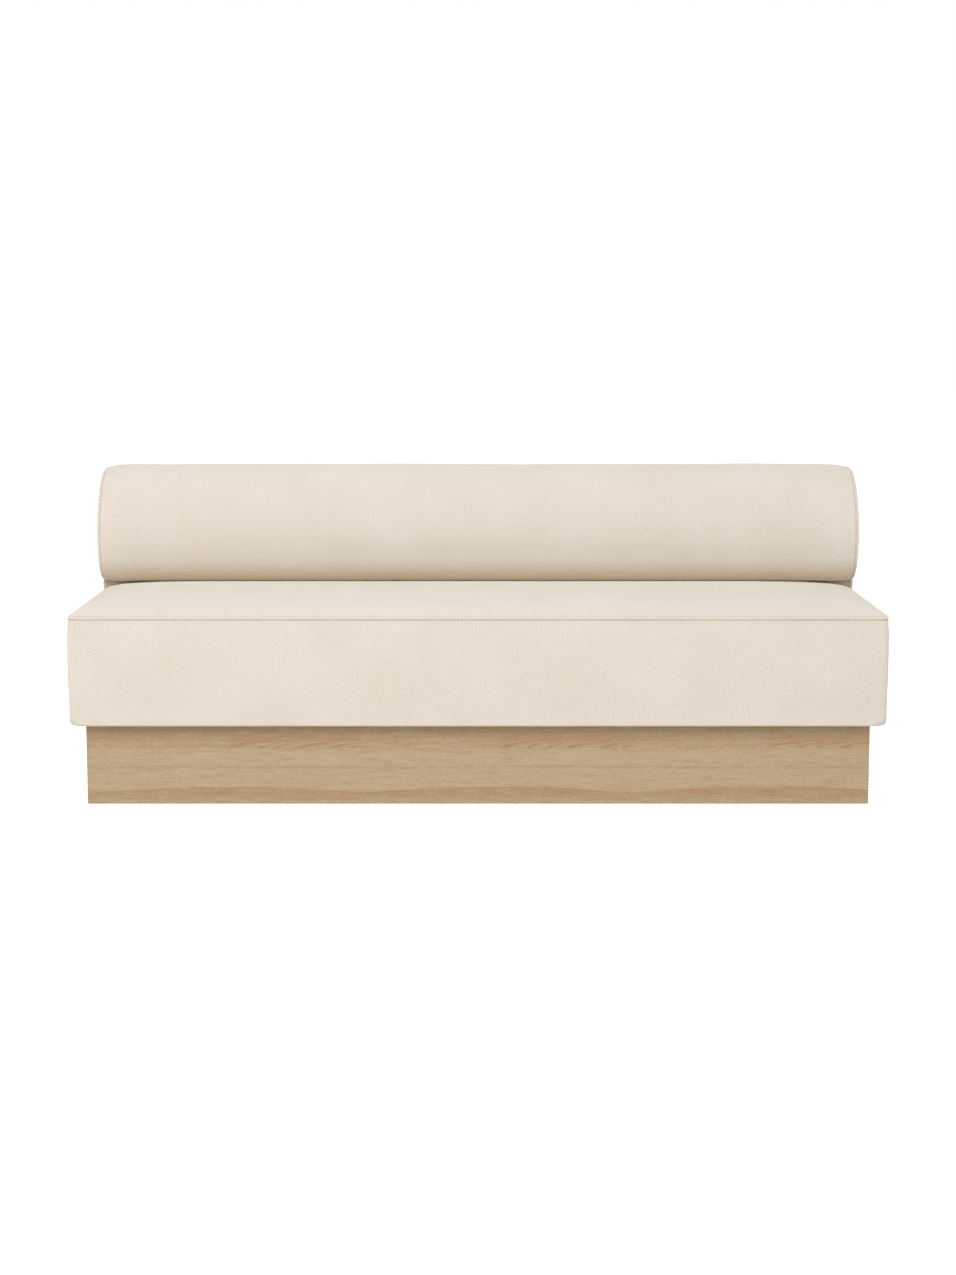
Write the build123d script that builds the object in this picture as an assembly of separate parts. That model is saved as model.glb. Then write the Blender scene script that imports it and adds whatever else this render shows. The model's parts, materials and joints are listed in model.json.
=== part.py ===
from build123d import *
import math
import os

# A dining sofa: a full-length upholstered bench seat on an inset timber plinth, with a
# round bolster back that overhangs the seat.
# Frame: +X to the right of somebody facing the sofa, -Y out of its front, +Z up. The origin
# is on the floor, in the middle of the sofa's width and depth. Lengths are millimetres.

# Outer sizes
seat_width = 2004.0
seat_depth = 525.0
back_depth = 225.0
seat_seam_height = 467.5
plinth_height = 202.5
plinth_stand = 1.0
plinth_inset = 34.5

# Form of the seat: faces drawn in towards the bottom and the seam, crowned top
face_draw = 7.5
bottom_round = 15.0
corner_round = 18.0
crown_rise = 36.0
crown_run_share = 0.42
face_draw_shares = ((0.30, 0.50), (0.52, 0.20), (0.74, 0.0), (0.96, 0.27), (1.0, 0.45))
crown_shares = ((0.24, 0.009), (0.41, 0.043), (0.60, 0.126), (0.80, 0.278), (0.93, 0.565), (1.0, 1.0))
crown_rear_share = 0.35
crown_corner_share = 0.3
bottom_round_steps = 4

# Form of the back: a bolster over a plain upright slab
roll_radius = 168.0
roll_lift = 174.5
roll_reach = 89.0
end_seam_setback = 17.0
end_cap_crown = 24.0
end_seam_pull = 10.0
end_taper_length = 75.0
end_taper_shares = ((0.0, 1.0), (0.15, 0.64), (0.36, 0.40), (0.57, 0.19), (1.0, 0.0))
end_cap_inset = 75.0
end_cap_shares = ((0.375, 0.17), (0.58, 0.24), (0.79, 0.43), (0.92, 0.64), (1.0, 1.0))
end_cap_lift_share = 0.1
back_foot_round = 4.0

# Covers
cover_thickness = 1.6
hem_width = 45.0
dust_cover_thickness = 0.6

# Seat inside
side_foam = 20.0
rear_wadding = 6.0
frame_rail_thickness = 25.0
seat_filling = 115.4
cross_rail_height_share = 0.82
cross_rail_count = 3
fixing_block_side = 60.0
fixing_block_height_share = 0.43
webbing_width = 50.0
webbing_thickness = 2.0
webbing_margin = 40.0
cross_strap_count = 20
long_strap_count = 5
felt_thickness = 3.0
crown_foam_skirt = 30.4

# Back inside
neck_foam = 15.0
front_board_thickness = 12.0
bent_board_thickness = 4.0
top_foam = 45.0
end_foam = 40.0
rib_thickness = 18.0
inner_rib_count = 3
foot_rail_thickness = 18.0
front_board_rise = 12.6

# Plinth
plinth_board = 19.0
plinth_rib_count = 3
plinth_rib_lift = 20.0
cleat_side = 30.0
glue_block_side = 24.0
glue_block_gap = 12.0

# Bolts, screws and T-nuts
bolt_radius = 4.0
bolt_hole_clearance = 0.3
bolt_head_radius = 7.0
bolt_head_height = 5.3
washer_radius = 12.0
washer_thickness = 1.6
tee_flange_radius = 11.0
tee_flange_thickness = 1.5
tee_sleeve_radius = 5.2
tee_sleeve_length = 9.0
back_bolt_count = 4
screw_radius = 2.5
screw_head_radius = 5.0
screw_head_height = 3.0
screw_length = 70.0
screw_height_shares = (0.3, 0.8)
hexagon_sides = 6

# Levelling feet
pad_radius = 19.0
pad_height = 7.0
socket_radius = 5.0
socket_floor = 2.5
running_clearance = 0.05
stem_collar_radius = 7.5
stem_stop_gap = 0.3
stem_length = 62.0
leveller_block_side = 60.0
leveller_block_height = 40.0
leveller_block_lift = 14.5

# One overrun for every cut that has to pass right through
overrun = 50.0
seat_rear_gap = 0.3

# Places that follow from the sizes
half_depth = (seat_depth + back_depth) / 2
front_y = -half_depth
rear_y = half_depth
neck_y = front_y + seat_depth
base_z = plinth_stand + plinth_height
roll_y = neck_y - roll_reach + roll_radius
roll_z = seat_seam_height + roll_lift
overall_height = roll_z + roll_radius
end_seam_x = seat_width / 2 - end_seam_setback
frame_floor_z = base_z + cover_thickness
deck_z = seat_seam_height - seat_filling
webbing_top_z = deck_z - felt_thickness
rail_top_z = webbing_top_z - 2 * webbing_thickness
frame_rail_height = rail_top_z - frame_floor_z
cross_rail_height = frame_rail_height * cross_rail_height_share
fixing_block_height = frame_rail_height * fixing_block_height_share
core_top_z = seat_seam_height - crown_foam_skirt
frame_half_x = seat_width / 2 - face_draw - cover_thickness - side_foam
frame_front_y = front_y + face_draw + cover_thickness + side_foam
frame_rear_y = neck_y - seat_rear_gap - cover_thickness - rear_wadding
plinth_half_x = seat_width / 2 - plinth_inset
plinth_front_y = front_y + plinth_inset
plinth_rear_y = rear_y - plinth_inset
rib_front_y = neck_y + cover_thickness + neck_foam + front_board_thickness
rib_rear_y = rear_y - cover_thickness - rear_wadding - bent_board_thickness
rib_head_radius = (rib_rear_y - rib_front_y) / 2
rib_head_y = (rib_rear_y + rib_front_y) / 2
rib_head_z = overall_height - cover_thickness - top_foam - bent_board_thickness - rib_head_radius
rib_half_x = end_seam_x - end_foam
rib_floor_z = frame_floor_z + foot_rail_thickness
front_board_top_z = seat_seam_height + front_board_rise
back_bolt_z = frame_floor_z + frame_rail_height / 2


def block(x0, x1, y0, y1, z0, z1):
    """A plain block between two corners."""
    centre = Pos((x0 + x1) / 2, (y0 + y1) / 2, (z0 + z1) / 2)
    return centre * Box(x1 - x0, y1 - y0, z1 - z0)


def upright(x, y, z0, z1, radius):
    """A round bar along Z."""
    return Pos(x, y, (z0 + z1) / 2) * Cylinder(radius, z1 - z0)


def along_y(x, z, y0, y1, radius):
    """A round bar along Y."""
    return Pos(x, (y0 + y1) / 2, z) * Rot(90, 0, 0) * Cylinder(radius, y1 - y0)


def group(solids):
    """Separate solids that share one node."""
    return Compound(children=list(solids))


def evenly(first, last, count):
    """Places from first to last, both included."""
    return [first + (last - first) * i / (count - 1) for i in range(count)]


# Seat envelope


def seat_section(z, inset, rear_inset, radius):
    """One level of the seat: a rounded rectangle, drawn in from its fullest outline."""
    width = seat_width - 2 * inset
    y0 = front_y + inset
    y1 = neck_y - seat_rear_gap - rear_inset
    return Pos(0, (y0 + y1) / 2, z) * RectangleRounded(width, y1 - y0, radius)


def seat_lower_sections(skin):
    """From the underside up to the seam, with the rounded bottom edge first."""
    bottom = base_z + skin
    sections = []
    for i in range(bottom_round_steps + 1):
        turn = math.radians(90 * i / bottom_round_steps)
        inset = face_draw + skin + bottom_round * (1 - math.sin(turn))
        z = bottom + bottom_round * (1 - math.cos(turn))
        sections.append(seat_section(z, inset, skin, corner_round))
    for height_share, draw_share in face_draw_shares:
        z = bottom + (seat_seam_height - bottom) * height_share
        sections.append(seat_section(z, face_draw * draw_share + skin, skin, corner_round))
    return sections


def seat_crown_sections(skin):
    """From the seam up over the crown."""
    last_share = face_draw_shares[-1][1]
    sections = [seat_section(seat_seam_height, face_draw * last_share + skin, skin, corner_round)]
    for rise_share, run_share in crown_shares:
        inset = seat_depth * crown_run_share * run_share
        z = seat_seam_height + (crown_rise - skin) * rise_share
        radius = corner_round + inset * crown_corner_share
        sections.append(seat_section(z, inset + skin, inset * crown_rear_share + skin, radius))
    return sections


def seat_envelope(skin):
    """The seat's whole form, less a skin of that thickness."""
    lower = loft(seat_lower_sections(skin), ruled=True)
    crown = loft(seat_crown_sections(skin), ruled=True)
    return lower + crown


# Back envelope


def back_profile(inset, lift):
    """The side view of the back, drawn in all round: slab, bolster and straight rear."""
    y0 = neck_y + inset
    y1 = rear_y - inset
    radius = roll_radius - inset
    top = roll_z + radius
    rear_radius = y1 - roll_y
    bottom = base_z + lift
    meet_z = roll_z - math.sqrt(radius**2 - (roll_y - y0) ** 2)
    slope = math.sin(math.radians(45))
    round_rise = back_foot_round * (1 - slope)
    path = [
        Line((y0, bottom), (y0, meet_z)),
        ThreePointArc((y0, meet_z), (roll_y - radius, roll_z), (roll_y, top)),
        ThreePointArc(
            (roll_y, top),
            (roll_y + rear_radius * slope, top - rear_radius * (1 - slope)),
            (y1, top - rear_radius),
        ),
        Line((y1, top - rear_radius), (y1, bottom + back_foot_round)),
        ThreePointArc(
            (y1, bottom + back_foot_round),
            (y1 - round_rise, bottom + round_rise),
            (y1 - back_foot_round, bottom),
        ),
        Line((y1 - back_foot_round, bottom), (y0, bottom)),
    ]
    return make_face(Curve() + path)


def back_section(x, inset, lift):
    """The side view set at its place along the sofa."""
    return Plane.YZ.offset(x) * back_profile(inset, lift)


def back_end_sections(side, skin):
    """From the end seam out over the crowned end."""
    sections = [back_section(side * end_seam_x, end_seam_pull + skin, skin)]
    for reach_share, inset_share in end_cap_shares:
        x = end_seam_x + (end_cap_crown - skin) * reach_share
        inset = end_cap_inset * inset_share
        lift = (inset - end_seam_pull) * end_cap_lift_share
        sections.append(back_section(side * x, inset + skin, lift + skin))
    return sections


def back_middle_sections(skin):
    """From one end seam to the other, with the bolster drawn in near each."""
    left = []
    for run_share, pull_share in end_taper_shares:
        x = end_seam_x - end_taper_length * run_share
        left.append((x, end_seam_pull * pull_share + skin))
    sections = [back_section(-x, inset, skin) for x, inset in left]
    sections += [back_section(x, inset, skin) for x, inset in reversed(left)]
    return sections


def back_envelope(skin):
    """The back's whole form, less a skin of that thickness."""
    body = loft(back_middle_sections(skin), ruled=True)
    for side in (-1, 1):
        body += loft(back_end_sections(side, skin), ruled=True)
    return body


# Big blocks that carve the envelopes


def slab(z0, z1):
    """Everything between two heights."""
    reach_x = seat_width / 2 + overrun
    return block(-reach_x, reach_x, front_y - overrun, rear_y + overrun, z0, z1)


def above(z):
    """Everything over a height."""
    return slab(z, overall_height + overrun)


def below(z):
    """Everything under a height."""
    return slab(-overrun, z)


def between_x(x0, x1):
    """Everything between two places along the sofa."""
    return block(x0, x1, front_y - overrun, rear_y + overrun, -overrun, overall_height + overrun)


# Plinth


def plinth_outline_board(front):
    """Front or back board, mitred at both ends."""
    outer = plinth_front_y if front else plinth_rear_y
    inner = outer + plinth_board if front else outer - plinth_board
    shape = Polygon(
        (-plinth_half_x, outer),
        (plinth_half_x, outer),
        (plinth_half_x - plinth_board, inner),
        (-plinth_half_x + plinth_board, inner),
        align=None,
    )
    return Pos(0, 0, plinth_stand) * extrude(shape, plinth_height, dir=(0, 0, 1))


def plinth_end_board(side):
    """End board, mitred at both ends."""
    outer = side * plinth_half_x
    inner = side * (plinth_half_x - plinth_board)
    shape = Polygon(
        (outer, plinth_front_y),
        (outer, plinth_rear_y),
        (inner, plinth_rear_y - plinth_board),
        (inner, plinth_front_y + plinth_board),
        align=None,
    )
    return Pos(0, 0, plinth_stand) * extrude(shape, plinth_height, dir=(0, 0, 1))


def plinth_rib_places():
    """Middles of the cross ribs along the sofa."""
    pitch = 2 * plinth_half_x / (plinth_rib_count + 1)
    return [-plinth_half_x + pitch * (i + 1) for i in range(plinth_rib_count)]


def plinth_rib(x):
    """A cross rib between the long boards, held clear of the floor."""
    return block(
        x - plinth_board / 2,
        x + plinth_board / 2,
        plinth_front_y + plinth_board,
        plinth_rear_y - plinth_board,
        plinth_stand + plinth_rib_lift,
        base_z,
    )


def plinth_bays():
    """The spaces between end boards and ribs along the sofa."""
    inner = plinth_half_x - plinth_board
    edges = [-inner]
    for x in plinth_rib_places():
        edges += [x - plinth_board / 2, x + plinth_board / 2]
    edges.append(inner)
    return [(edges[i], edges[i + 1]) for i in range(0, len(edges), 2)]


def plinth_cleats():
    """Battens inside the top of the long boards, one in each bay, drilled for the seat bolts."""
    front = plinth_front_y + plinth_board
    rear = frame_rear_y - frame_rail_thickness - fixing_block_side
    cleats = []
    for x0, x1 in plinth_bays():
        for y0 in (front, rear):
            cleat = block(x0, x1, y0, y0 + cleat_side, base_z - cleat_side, base_z)
            for x, y in seat_bolt_places():
                cleat -= upright(x, y, -overrun, overall_height, bolt_radius + bolt_hole_clearance)
            cleats.append(cleat)
    return group(cleats)


def leveller_places():
    """Middles of the levelling feet: both ends and the middle, front and rear."""
    end_x = plinth_half_x - plinth_board - leveller_block_side / 2
    middle_x = plinth_board / 2 + leveller_block_side / 2
    y0 = plinth_front_y + plinth_board + leveller_block_side / 2
    y1 = plinth_rear_y - plinth_board - leveller_block_side / 2
    return [(x, y) for y in (y0, y1) for x in (-end_x, middle_x, end_x)]


def leveller_insert(x, y):
    """A flanged sleeve under a levelling block, with the running bore for the stem."""
    z = leveller_block_lift
    flange = upright(x, y, z - tee_flange_thickness, z, tee_flange_radius)
    sleeve = upright(x, y, z, z + tee_sleeve_length, tee_sleeve_radius)
    bore = upright(x, y, 0, z + overrun, bolt_radius + running_clearance)
    return flange + sleeve - bore


def leveller_block(x, y):
    """A block glued inside the long board, drilled for the sleeve and the stem."""
    half = leveller_block_side / 2
    z0 = leveller_block_lift
    z1 = z0 + leveller_block_height
    body = block(x - half, x + half, y - half, y + half, z0, z1)
    body -= upright(x, y, z0 - overrun, z0 + tee_sleeve_length, tee_sleeve_radius)
    return body - upright(x, y, z0, z1 + overrun, bolt_radius + bolt_hole_clearance)


def leveller_pad(x, y):
    """A round foot with the socket that the stem turns in."""
    body = upright(x, y, 0, pad_height, pad_radius)
    return body - upright(x, y, socket_floor, pad_height + overrun, socket_radius)


def leveller_stem(x, y):
    """A threaded stem, standing in the pad's socket, with a hexagon to turn it by."""
    z0 = socket_floor + running_clearance
    z1 = pad_height + running_clearance
    z2 = leveller_block_lift - tee_flange_thickness - stem_stop_gap
    foot = upright(x, y, z0, z1, socket_radius - running_clearance)
    collar = Pos(x, y, z1) * extrude(RegularPolygon(stem_collar_radius, hexagon_sides), z2 - z1)
    rod = upright(x, y, z2, z0 + stem_length, bolt_radius)
    return foot + collar + rod


def plinth_blocks():
    """The levelling blocks, and upright blocks in the plinth's corners over them."""
    x_in = plinth_half_x - plinth_board
    z0 = leveller_block_lift + leveller_block_height
    z1 = base_z - cleat_side - glue_block_gap
    solids = [leveller_block(x, y) for x, y in leveller_places()]
    for side in (-1, 1):
        xs = sorted((side * x_in, side * (x_in - glue_block_side)))
        y0 = plinth_front_y + plinth_board
        y1 = plinth_rear_y - plinth_board
        solids.append(block(*xs, y0, y0 + glue_block_side, z0, z1))
        solids.append(block(*xs, y1 - glue_block_side, y1, z0, z1))
    return group(solids)


# Seat inside


def cross_rail_places():
    """Middles of the seat's cross rails, over the plinth's ribs."""
    pitch = 2 * plinth_half_x / (cross_rail_count + 1)
    return [-plinth_half_x + pitch * (i + 1) for i in range(cross_rail_count)]


def seat_bolt_places():
    """Middles of the bolts that hold the seat to the plinth."""
    end_x = frame_half_x - frame_rail_thickness - fixing_block_side / 2
    middle_x = frame_rail_thickness / 2 + fixing_block_side / 2
    front = plinth_front_y + plinth_board + cleat_side / 2
    rear = frame_rear_y - frame_rail_thickness - fixing_block_side + cleat_side / 2
    return [(x, y) for y in (front, rear) for x in (-end_x, middle_x, end_x)]


def fixing_blocks():
    """Blocks inside the seat frame that take the bolts up from the plinth."""
    half = fixing_block_side / 2
    z1 = frame_floor_z + fixing_block_height
    inner_front = frame_front_y + frame_rail_thickness
    inner_rear = frame_rear_y - frame_rail_thickness
    solids = []
    for x, y in seat_bolt_places():
        y0 = inner_front if y < (inner_front + inner_rear) / 2 else inner_rear - fixing_block_side
        body = block(x - half, x + half, y0, y0 + fixing_block_side, frame_floor_z, z1)
        body -= upright(x, y, base_z, z1 + overrun, bolt_radius + bolt_hole_clearance)
        sleeve_floor = z1 - tee_sleeve_length
        body -= upright(x, y, sleeve_floor, z1 + overrun, tee_sleeve_radius)
        solids.append(body)
    return group(solids)


def tee_nut_up(x, y, z):
    """A T-nut let into a top face: flange on the face, sleeve down in the timber."""
    flange = upright(x, y, z, z + tee_flange_thickness, tee_flange_radius)
    sleeve = upright(x, y, z - tee_sleeve_length, z, tee_sleeve_radius)
    return flange + sleeve - upright(x, y, z - overrun, z + overrun, bolt_radius)


def seat_bolt(x, y):
    """A bolt up through the cleat into the T-nut, with its washer left to another node."""
    z0 = base_z - cleat_side - washer_thickness
    z1 = frame_floor_z + fixing_block_height + tee_flange_thickness
    hexagon = RegularPolygon(bolt_head_radius, hexagon_sides)
    head = Pos(x, y, z0 - bolt_head_height) * extrude(hexagon, bolt_head_height)
    return head + upright(x, y, z0, z1, bolt_radius)


def washer_under(x, y, z):
    """A washer whose top face lies at a height."""
    ring = upright(x, y, z - washer_thickness, z, washer_radius)
    return ring - upright(x, y, z - overrun, z + overrun, bolt_radius + bolt_hole_clearance)


def back_bolt_places():
    """Places along the sofa of the bolts between the seat and the back."""
    places = plinth_bays()
    return [(x0 + x1) / 2 for x0, x1 in places][:back_bolt_count]


def bolt_hole_y(x):
    """The hole that a back bolt needs, right through."""
    radius = bolt_radius + bolt_hole_clearance
    return along_y(x, back_bolt_z, frame_rear_y - 2 * overrun, rib_front_y + overrun, radius)


def drilled_for_back_bolts(body):
    """The body with every back bolt's hole."""
    for x in back_bolt_places():
        body -= bolt_hole_y(x)
    return body


def back_bolt(x):
    """A bolt from inside the seat's rear rail into the T-nut behind the back's front board."""
    y0 = frame_rear_y - frame_rail_thickness - washer_thickness
    y1 = rib_front_y + tee_flange_thickness
    hexagon = RegularPolygon(bolt_head_radius, hexagon_sides)
    head_face = Pos(x, y0, back_bolt_z) * Rot(90, 0, 0) * hexagon
    return extrude(head_face, bolt_head_height) + along_y(x, back_bolt_z, y0, y1, bolt_radius)


def back_washer(x):
    """The washer under a back bolt's head."""
    y1 = frame_rear_y - frame_rail_thickness
    ring = along_y(x, back_bolt_z, y1 - washer_thickness, y1, washer_radius)
    return ring - bolt_hole_y(x)


def back_tee_nut(x):
    """A T-nut let into the back of the front board."""
    flange = along_y(x, back_bolt_z, rib_front_y, rib_front_y + tee_flange_thickness, tee_flange_radius)
    sleeve = along_y(x, back_bolt_z, rib_front_y - tee_sleeve_length, rib_front_y, tee_sleeve_radius)
    hole = along_y(x, back_bolt_z, neck_y, rib_front_y + overrun, bolt_radius)
    return flange + sleeve - hole


def frame_screw_places():
    """Screws through the long rails into each rail between them: (x, the rail's height)."""
    end_x = frame_half_x - frame_rail_thickness / 2
    ends = [(-end_x, frame_rail_height), (end_x, frame_rail_height)]
    return ends + [(x, cross_rail_height) for x in cross_rail_places()]


def frame_screw(x, y, way, z):
    """One countersunk screw, its head flush with the rail."""
    head_end = y + way * screw_head_height
    tip = y + way * screw_length
    head = along_y(x, z, min(y, head_end), max(y, head_end), screw_head_radius)
    return head + along_y(x, z, min(y, tip), max(y, tip), screw_radius)


def all_frame_screws():
    """Every screw of the seat frame."""
    solids = []
    for x, height in frame_screw_places():
        for share in screw_height_shares:
            z = frame_floor_z + height * share
            solids.append(frame_screw(x, frame_front_y, 1, z))
            solids.append(frame_screw(x, frame_rear_y, -1, z))
    return solids


def seat_long_rail(front):
    """Front or rear rail of the seat frame."""
    y0 = frame_front_y if front else frame_rear_y - frame_rail_thickness
    return block(-frame_half_x, frame_half_x, y0, y0 + frame_rail_thickness, frame_floor_z, rail_top_z)


def seat_end_rail(side):
    """End rail between the long rails."""
    xs = sorted((side * frame_half_x, side * (frame_half_x - frame_rail_thickness)))
    y0 = frame_front_y + frame_rail_thickness
    y1 = frame_rear_y - frame_rail_thickness
    return block(*xs, y0, y1, frame_floor_z, rail_top_z)


def seat_cross_rail(x):
    """Cross rail, lower than the webbing so that the webbing can give."""
    half = frame_rail_thickness / 2
    y0 = frame_front_y + frame_rail_thickness
    y1 = frame_rear_y - frame_rail_thickness
    return block(x - half, x + half, y0, y1, frame_floor_z, frame_floor_z + cross_rail_height)


def cross_straps():
    """Webbing straps from the front rail to the rear rail."""
    reach = frame_half_x - webbing_margin - webbing_width / 2
    half = webbing_width / 2
    z1 = rail_top_z + webbing_thickness
    return [
        block(x - half, x + half, frame_front_y, frame_rear_y, rail_top_z, z1)
        for x in evenly(-reach, reach, cross_strap_count)
    ]


def long_straps():
    """Webbing straps from end to end, over the first layer."""
    half = webbing_width / 2
    first = frame_front_y + webbing_margin + half
    last = frame_rear_y - webbing_margin - half
    z0 = rail_top_z + webbing_thickness
    return [
        block(-frame_half_x, frame_half_x, y - half, y + half, z0, webbing_top_z)
        for y in evenly(first, last, long_strap_count)
    ]


def seat_felt():
    """Felt over the webbing."""
    return block(-frame_half_x, frame_half_x, frame_front_y, frame_rear_y, webbing_top_z, deck_z)


def seat_frame_space():
    """All that the frame, its webbing and its felt take up."""
    return block(-frame_half_x, frame_half_x, frame_front_y, frame_rear_y, base_z - overrun, deck_z)


def seat_foams():
    """The foam pieces, all cut from the space inside the cover."""
    inner = seat_envelope(cover_thickness)
    low = inner & below(deck_z)
    ring = low - seat_frame_space()
    x1 = frame_half_x
    reach = seat_width
    front_space = block(-reach, reach, front_y - overrun, frame_front_y, 0, deck_z)
    rear_space = block(-reach, reach, frame_rear_y, rear_y, 0, deck_z)
    left_space = block(-reach, -x1, frame_front_y, frame_rear_y, 0, deck_z)
    right_space = block(x1, reach, frame_front_y, frame_rear_y, 0, deck_z)
    return {
        "seat_front_foam": ring & front_space,
        "seat_rear_wadding": drilled_for_back_bolts(ring & rear_space),
        "seat_end_foams": group([ring & left_space, ring & right_space]),
        "seat_core_foam": inner & slab(deck_z, core_top_z),
        "seat_crown_foam": inner & above(core_top_z),
    }


def seat_hem_window():
    """The opening inside the hem on the seat's underside."""
    x = seat_width / 2 - face_draw - hem_width
    y0 = front_y + face_draw + hem_width
    y1 = neck_y - hem_width
    return block(-x, x, y0, y1, base_z - overrun, frame_floor_z)


def seat_covers():
    """Top panel and side border, meeting at the seam, with the hem turned under."""
    skin = seat_envelope(0) - seat_envelope(cover_thickness)
    border = (skin & below(seat_seam_height)) - seat_hem_window()
    return {
        "seat_top_cover": skin & above(seat_seam_height),
        "seat_border_cover": drilled_for_back_bolts(border),
    }


def seat_dust_cover():
    """Thin sheet inside the hem, under the frame, with holes for the bolts."""
    x = seat_width / 2 - face_draw - hem_width
    y0 = front_y + face_draw + hem_width
    y1 = neck_y - hem_width
    sheet = block(-x, x, y0, y1, frame_floor_z - dust_cover_thickness, frame_floor_z)
    for bx, by in seat_bolt_places():
        sheet -= upright(bx, by, 0, overall_height, bolt_radius + bolt_hole_clearance)
    return sheet


# Back inside


def rib_outline(grow, z0):
    """The ribs' side view: straight sides and a round head, grown all round by an amount."""
    radius = rib_head_radius + grow
    slope = math.sin(math.radians(45))
    y0 = rib_head_y - radius
    y1 = rib_head_y + radius
    path = [
        Line((y0, z0), (y0, rib_head_z)),
        ThreePointArc(
            (y0, rib_head_z),
            (rib_head_y - radius * slope, rib_head_z + radius * slope),
            (rib_head_y, rib_head_z + radius),
        ),
        ThreePointArc(
            (rib_head_y, rib_head_z + radius),
            (rib_head_y + radius * slope, rib_head_z + radius * slope),
            (y1, rib_head_z),
        ),
        Line((y1, rib_head_z), (y1, z0)),
        Line((y1, z0), (y0, z0)),
    ]
    return make_face(Curve() + path)


def rib_solid(x0, x1, grow, z0):
    """The ribs' side view carried between two places along the sofa."""
    return extrude(Plane.YZ.offset(x0) * rib_outline(grow, z0), x1 - x0)


def rib_places():
    """Middles of the inner ribs."""
    pitch = 2 * rib_half_x / (inner_rib_count + 1)
    return [-rib_half_x + pitch * (i + 1) for i in range(inner_rib_count)]


def bent_board():
    """Thin board bent over the ribs' heads: down to the front board, and to the floor rail behind."""
    shell = rib_solid(-rib_half_x, rib_half_x, bent_board_thickness, frame_floor_z)
    shell -= rib_solid(-rib_half_x - overrun, rib_half_x + overrun, 0, frame_floor_z - overrun)
    front_leg = block(
        -rib_half_x - overrun,
        rib_half_x + overrun,
        neck_y,
        rib_head_y,
        0,
        front_board_top_z,
    )
    return shell - front_leg


def front_board():
    """Ply board down the front of the slab, where the seat is bolted on."""
    y0 = rib_front_y - front_board_thickness
    board = block(-rib_half_x, rib_half_x, y0, rib_front_y, frame_floor_z, front_board_top_z)
    board = drilled_for_back_bolts(board)
    for x in back_bolt_places():
        board -= along_y(x, back_bolt_z, rib_front_y - tee_sleeve_length, rib_front_y, tee_sleeve_radius)
    return board


def foot_rail():
    """Rail under the ribs, as deep as they are."""
    return block(-rib_half_x, rib_half_x, rib_front_y, rib_rear_y, frame_floor_z, rib_floor_z)


def back_foams():
    """The foam pieces of the back, all cut from the space inside the cover."""
    inner = back_envelope(cover_thickness)
    frame = rib_solid(-rib_half_x, rib_half_x, bent_board_thickness, 0)
    board_front = rib_front_y - front_board_thickness
    board_space = block(-rib_half_x, rib_half_x, board_front, rib_rear_y, 0, front_board_top_z)
    middle = (inner & between_x(-rib_half_x, rib_half_x)) - frame - board_space
    reach = seat_width
    rear_space = block(-reach, reach, rib_head_y, rear_y + overrun, 0, rib_head_z)
    neck_space = block(-reach, reach, front_y, rib_head_y, 0, front_board_top_z)
    return {
        "back_roll_foam": middle - rear_space - neck_space,
        "back_neck_foam": drilled_for_back_bolts(middle & neck_space),
        "back_rear_wadding": middle & rear_space,
        "back_left_end_foam": inner & between_x(-reach, -rib_half_x),
        "back_right_end_foam": inner & between_x(rib_half_x, reach),
    }


def back_covers():
    """The long wrap and the two end panels, meeting at the end seams."""
    skin = back_envelope(0) - back_envelope(cover_thickness)
    x = end_seam_x - hem_width
    y0 = neck_y + hem_width
    y1 = rear_y - hem_width
    skin -= block(-x, x, y0, y1, base_z - overrun, frame_floor_z)
    reach = seat_width
    return {
        "back_wrap_cover": drilled_for_back_bolts(skin & between_x(-end_seam_x, end_seam_x)),
        "back_left_end_cover": skin & between_x(-reach, -end_seam_x),
        "back_right_end_cover": skin & between_x(end_seam_x, reach),
    }


def back_dust_cover():
    """Thin sheet inside the back's hem, under its rail."""
    x = end_seam_x - hem_width
    y0 = neck_y + hem_width
    y1 = rear_y - hem_width
    return block(-x, x, y0, y1, frame_floor_z - dust_cover_thickness, frame_floor_z)


# The whole sofa, node by node


def plinth_nodes():
    """Plinth boards, ribs, cleats, blocks and sleeves."""
    nodes = {
        "plinth_front_board": plinth_outline_board(True),
        "plinth_back_board": plinth_outline_board(False),
        "plinth_left_end_board": plinth_end_board(-1),
        "plinth_right_end_board": plinth_end_board(1),
        "plinth_cleats": plinth_cleats(),
        "plinth_blocks": plinth_blocks(),
        "leveller_inserts": group(leveller_insert(x, y) for x, y in leveller_places()),
    }
    for i, x in enumerate(plinth_rib_places()):
        nodes[f"plinth_rib_{i + 1}"] = plinth_rib(x)
    for i, (x, y) in enumerate(leveller_places()):
        nodes[f"leveller_pad_{i + 1}"] = leveller_pad(x, y)
        nodes[f"leveller_stem_{i + 1}"] = leveller_stem(x, y)
    return nodes


def seat_nodes():
    """Seat frame, webbing, foam, covers and fastenings."""
    screws = all_frame_screws()
    rails = {
        "seat_front_rail": seat_long_rail(True),
        "seat_rear_rail": drilled_for_back_bolts(seat_long_rail(False)),
        "seat_left_end_rail": seat_end_rail(-1),
        "seat_right_end_rail": seat_end_rail(1),
    }
    nodes = {name: rail - screws for name, rail in rails.items()}
    nodes["seat_cross_rails"] = group(seat_cross_rail(x) - screws for x in cross_rail_places())
    nodes["seat_frame_screws"] = group(screws)
    nodes["seat_fixing_blocks"] = fixing_blocks()
    nodes["seat_bolts"] = group(seat_bolt(x, y) for x, y in seat_bolt_places())
    nodes["seat_webbing"] = group(cross_straps() + long_straps())
    nodes["seat_felt"] = seat_felt()
    nodes["seat_dust_cover"] = seat_dust_cover()
    nodes.update(seat_foams())
    nodes.update(seat_covers())
    return nodes


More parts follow.
